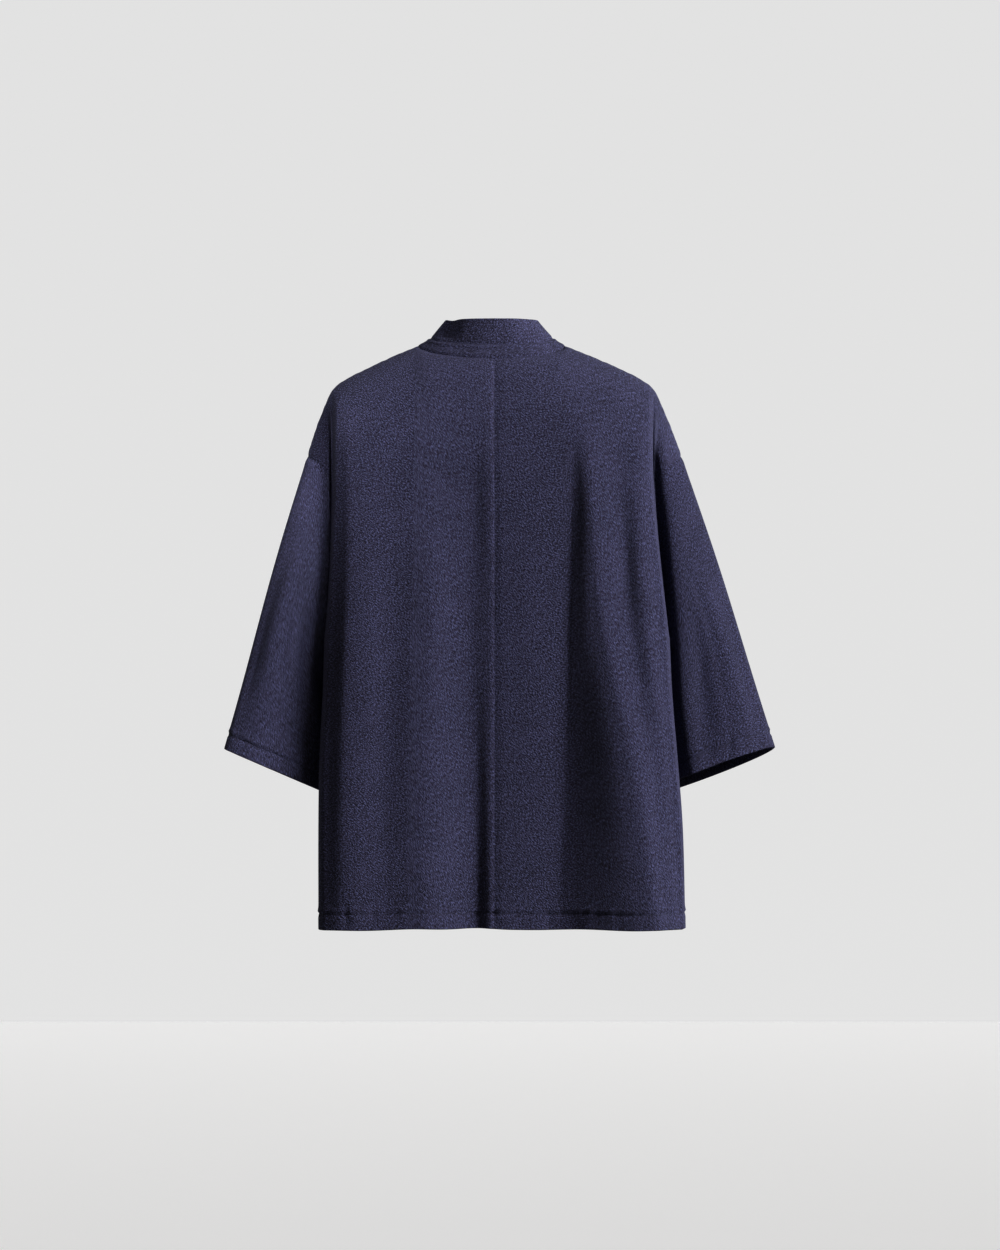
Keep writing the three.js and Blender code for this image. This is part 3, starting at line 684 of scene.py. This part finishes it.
sleeve_turn = np.r_[np.linspace(180, 360, 85)[:-1], np.linspace(0, 180, 85)]
sleeve_share = np.r_[seam_steps(0, 0.1, 16, 0)[:-1], np.linspace(0.1, 1, 120)]
for side, sign in SIDES.items():
    points = sleeve_points(side, sleeve_turn, sleeve_share)
    normals = net_normals(points, -sign, ring=True)
    out, fall = arc(points, 1), arc(points, 0)
    to_hem = fall[-1:] - fall
    to_side = np.minimum(out, out[:, -1:] - out)
    height = sewn_edge(fall, out, 31) + sewn_edge(to_side, fall, 32) + hem_edge(to_hem, out, 33)
    if side == "right":
        pinch = groove(points[..., 0] - PINCH_X, 0.004) * groove(to_hem - PINCH_UP, 0.012)
        height -= PINCH_DEPTH * pinch * ease(points[..., 1], 0, 0.020)
    height *= ease(to_side, 0, 0.012)
    points = points + normals * height[..., None]
    seam_lines.append((points, normals, to_hem - TURN_UP))
    points = turn_up(points, normals, TURN_UP)
    points = np.concatenate([points[:1] - normals[:1] * ALLOWANCE, points])
    tube = cloth_piece("sleeve_tube_" + side, points, sign, sign > 0, navy_crepe, ring=True)
    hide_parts("sleeve_" + side)


# Collar band
# One long band of the same crepe, folded double, sewn round the neck and down both front edges.
# Its foot leans in over the seam, and above a soft crease it stands up round the back of the neck.
BAND_CLOTH = 0.0010
BAND_GAP = 0.0007
FOOT_WIDTH = 0.017
STAND_WIDTH = 0.035
CREASE_ROUND = 0.0022
TUCK = 0.0022
HOLLOW_X = 0.060
HOLLOW_DEPTH = 0.0050
BAND_ROWS = (0, -0.040, -0.110, -0.220, HEM_Z)
FOOT = {
    "z": BAND_ROWS,
    "inwards": (0.87, 0.88, 0.96, 1, 1),
    "back": (-0.08, -0.38, -0.24, -0.08, -0.06),
    "up": (0.48, 0.28, 0.10, 0, 0),
}
STAND = {
    "z": BAND_ROWS,
    "inwards": (0.62, 0.76, 0.95, 1, 1),
    "back": (-0.34, -0.40, -0.26, -0.08, -0.06),
    "up": (0.71, 0.50, 0.16, 0.02, 0),
}
FOOT_AT_BACK = np.array([0, -0.55, 0.83])
STAND_AT_BACK = np.array([0, -0.12, 0.99])


def band_way(part, at_back, side, z, around):
    """Direction in which a part of the band rises from its seam, beside the front or round the neck."""
    beside = np.stack([read(part, name, z) for name in ("inwards", "back", "up")], axis=-1)
    return unit(blend(at_back, beside, around[:, None]) * np.array([-SIDES[side], 1, 1]))


around = np.linspace(0, 1, 60)
lines, feet, stands = [], [], []
for side in SIDES:
    neck = top_points(side, around)
    down_front = front_edges[side][1:]
    line = np.concatenate([neck, down_front])
    share = np.r_[around, np.ones(len(down_front))]
    foot = band_way(FOOT, FOOT_AT_BACK, side, line[:, 2], share)
    stand = band_way(STAND, STAND_AT_BACK, side, line[:, 2], share)
    order = slice(None, None, -1) if side == "left" else slice(1, None)
    lines.append(line[order])
    feet.append(foot[order])
    stands.append(stand[order])
line, foot, stand = np.concatenate(lines), np.concatenate(feet), np.concatenate(stands)
wide = np.linspace(0, FOOT_WIDTH + STAND_WIDTH, 40)
above = CREASE_ROUND * np.log1p(np.exp((wide - FOOT_WIDTH) / CREASE_ROUND))
middle = line[:, None] + foot[:, None] * (wide - above)[None, :, None]
middle = middle + stand[:, None] * above[None, :, None]
normals = net_normals(middle, -1)
along = arc(middle, 0)
height = 0.0007 * ripple(along, 41, 0.060) * ease(wide, 0.006, 0.040)
height += 0.0004 * ripple(along, 42, 0.021) * groove(wide - 0.005, 0.006) - 0.0012 * groove(wide, 0.0020)
height += 0.0007 * groove(wide - FOOT_WIDTH + 0.001, 0.002)
height -= 0.0010 * groove(wide - FOOT_WIDTH - 0.003, 0.0025)
x, y, z = np.moveaxis(middle, -1, 0)
hollow = groove(x - HOLLOW_X, 0.013) * ease(y, 0, 0.020) * ease(z, -0.010, 0.010)
height -= HOLLOW_DEPTH * hollow * ease(wide, FOOT_WIDTH, 0.034)
middle = middle + normals * height[..., None]
outer = middle + normals * BAND_GAP
tucked = line[:, None] - foot[:, None] * ALLOWANCE - normals[:, :1] * TUCK
fold_turn = np.radians((60, 30, 0, -30, -60))
rise = stand[:, None] * np.cos(fold_turn)[None, :, None]
fold = middle[:, -1:] + BAND_GAP * (rise + normals[:, -1:] * np.sin(fold_turn)[None, :, None])
inner = (middle - normals * BAND_GAP)[:, ::-1]
points = np.concatenate([tucked, outer, fold, inner], axis=1)
collar = cloth_piece("collar_band", points, 1, True, navy_crepe, thickness=BAND_CLOTH)
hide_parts("collar")


# Stitches
# Rows of plain running stitches in matching navy thread, which hold the turned-up hems and cuffs.
# Each stitch is a short round bead of thread that lies in the groove that it pulls into the cloth.
STITCH = (0.0026, 0.0006, 0.0005)
STITCH_SPACING = 0.0034
THREAD = (0.030, 0.030, 0.058, 1)


def stitch_line(points, normals, from_line):
    """Places, ways and normals of the stitches along the line where from_line passes zero."""
    row = np.argmax(from_line <= 0, axis=0)
    column = np.arange(points.shape[1])
    above, below = from_line[row - 1, column], from_line[row, column]
    t = (above / (above - below))[:, None]
    line = blend(points[row - 1, column], points[row, column], t)
    up = blend(normals[row - 1, column], normals[row, column], t)
    length = np.r_[0, np.cumsum(np.linalg.norm(np.diff(line, axis=0), axis=1))]
    at = np.arange(STITCH_SPACING, length[-1] - STITCH_SPACING, STITCH_SPACING)
    place, up = (np.stack([np.interp(at, length, v[:, k]) for k in range(3)], -1) for v in (line, up))
    return place + unit(up) * CLOTH / 2, unit(np.gradient(place, axis=0)), unit(up)


bpy.ops.object.select_all(action="DESELECT")
bpy.ops.mesh.primitive_uv_sphere_add(segments=8, ring_count=4, radius=0.5)
bead = bpy.context.object
corner_places = np.array([v.co[:] for v in bead.data.vertices]) * STITCH
bead_faces = [tuple(face.vertices) for face in bead.data.polygons]
bpy.data.objects.remove(bead)
places, ways, ups = (np.concatenate(parts) for parts in zip(*(stitch_line(*line) for line in seam_lines)))
axes = np.stack([ways, np.cross(ups, ways), ups], axis=1)
corners = places[:, None] + np.einsum("ck,nkd->ncd", corner_places, axes)
count = len(corner_places)
faces = [tuple(count * n + k for k in face) for n in range(len(places)) for face in bead_faces]
thread = bpy.data.meshes.new("hem_stitches")
thread.from_pydata(corners.reshape(-1, 3).tolist(), [], faces)
stitches = bpy.data.objects.new("hem_stitches", thread)
bpy.context.scene.collection.objects.link(stitches)
thread.shade_smooth()
navy_thread = bpy.data.materials.new("navy thread")
navy_thread.use_nodes = True
navy_thread.node_tree.nodes["Principled BSDF"].inputs["Base Color"].default_value = THREAD
navy_thread.node_tree.nodes["Principled BSDF"].inputs["Roughness"].default_value = 0.6
thread.materials.append(navy_thread)
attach(stitches, "root")


# Stage
# A plain pale floor and backdrop of matt paper, so far away that the camera sees no shadow on them.
# Most lamps reach only the jacket, so the papers glow as if they were lit. The floor's glow lights
# nothing else.
FLOOR_Z = -1.45
STAGE_SIZE = 30
BACKDROP_PLACE = (0, -9.5, 13.5)


def paper(name, shade, glow):
    """Matt paper of a grey shade, with the glow that stands for light falling on it."""
    material = bpy.data.materials.new(name)
    material.use_nodes = True
    shader = material.node_tree.nodes["Principled BSDF"]
    shader.inputs["Base Color"].default_value = (shade, shade, shade, 1)
    shader.inputs["Roughness"].default_value = 0.9
    shader.inputs["Emission Color"].default_value = (1, 1, 1, 1)
    shader.inputs["Emission Strength"].default_value = glow
    return material


bpy.ops.object.select_all(action="DESELECT")
bpy.ops.mesh.primitive_plane_add(size=STAGE_SIZE, location=(0, 0, FLOOR_Z))
floor = bpy.context.object
floor.name = "floor"
floor.data.materials.append(paper("floor paper", 0.76, 0.50))
bpy.ops.mesh.primitive_plane_add(size=STAGE_SIZE, location=BACKDROP_PLACE, rotation=(math.radians(90), 0, 0))
backdrop = bpy.context.object
backdrop.name = "backdrop"
backdrop.data.materials.append(paper("backdrop paper", 0.06, 0.793))


# Light and camera
# A soft key light high on the right rakes across the folds, with weak fills by the camera and above.
# Each sleeve has a soft light of its own, and two small spots reach the left shoulder. The camera
# looks level at the back of the jacket.
BODY = (
    "back_half_left", "back_half_right", "front_panel_left", "front_panel_right", "collar_band",
    "hem_stitches",
)
VIEW_HEIGHT = 1.575
DISTANCE = 8.0
BACK_Y = 0.05
CAMERA_X = -0.007
CAMERA_Z = -0.353
SENSOR = 36


def lamp(kind, name, place, aim, watts):
    """A lamp at its place, turned to what it lights."""
    bpy.ops.object.light_add(type=kind, location=place)
    made = bpy.context.object
    made.name = name
    made.data.energy = watts
    made.rotation_euler = (Vector(aim) - Vector(place)).to_track_quat("-Z", "Y").to_euler()
    return made


def soft_light(name, place, aim, size, watts):
    made = lamp("AREA", name, place, aim, watts)
    made.data.size = size
    return made


def small_spot(name, place, aim, angle, watts):
    made = lamp("SPOT", name, place, aim, watts)
    made.data.spot_size = math.radians(angle)
    made.data.spot_blend = 1.0
    made.data.shadow_soft_size = 0.1


def light_only(source, *names):
    """Let a lamp or a glowing paper light only the named pieces, as a card beside it would."""
    reached = bpy.data.collections.new(source.name + " reach")
    for name in names:
        reached.objects.link(bpy.data.objects[name])
    source.light_linking.receiver_collection = reached


light_only(floor, "floor")
key = soft_light("key light", (-4.0, 1.95, 1.6), (0, 0, -0.4), 1.3, 490)
light_only(key, "sleeve_tube_left", *BODY)
soft_light("camera fill", (1.0, 3.6, 0.6), (0, 0, -0.4), 2.0, 6)
top = soft_light("top light", (0.9, 0.3, 3.2), (0, 0, -0.1), 0.8, 16)
light_only(top, *BODY)
left = soft_light("left sleeve light", (-1.6, 3.2, 1.6), (0.28, 0, -0.35), 1.5, 360)
light_only(left, "sleeve_tube_left")
right = soft_light("right sleeve light", (-2.9, 2.8, 1.6), (-0.28, 0, -0.35), 1.3, 320)
light_only(right, "sleeve_tube_right")
small_spot("left shoulder light", (-1.0, 1.6, 2.6), (0.235, 0, -0.12), 10, 120)
small_spot("left armhole light", (-0.1, 2.4, 2.2), (0.244, 0.01, -0.18), 5, 520)
world = bpy.data.worlds.new("studio")
world.use_nodes = True
world.node_tree.nodes["Background"].inputs["Color"].default_value = (1, 0.84, 0.74, 1)
world.node_tree.nodes["Background"].inputs["Strength"].default_value = 0.045
bpy.context.scene.world = world
bpy.context.scene.view_settings.view_transform = "Standard"
bpy.context.scene.view_settings.gamma = 0.8

place = (CAMERA_X, BACK_Y + DISTANCE, CAMERA_Z)
bpy.ops.object.camera_add(location=place, rotation=(math.radians(90), 0, math.radians(180)))
camera = bpy.context.object
camera.data.sensor_width = SENSOR
camera.data.lens = SENSOR * DISTANCE / VIEW_HEIGHT
camera.data.clip_end = 60
bpy.context.scene.camera = camera
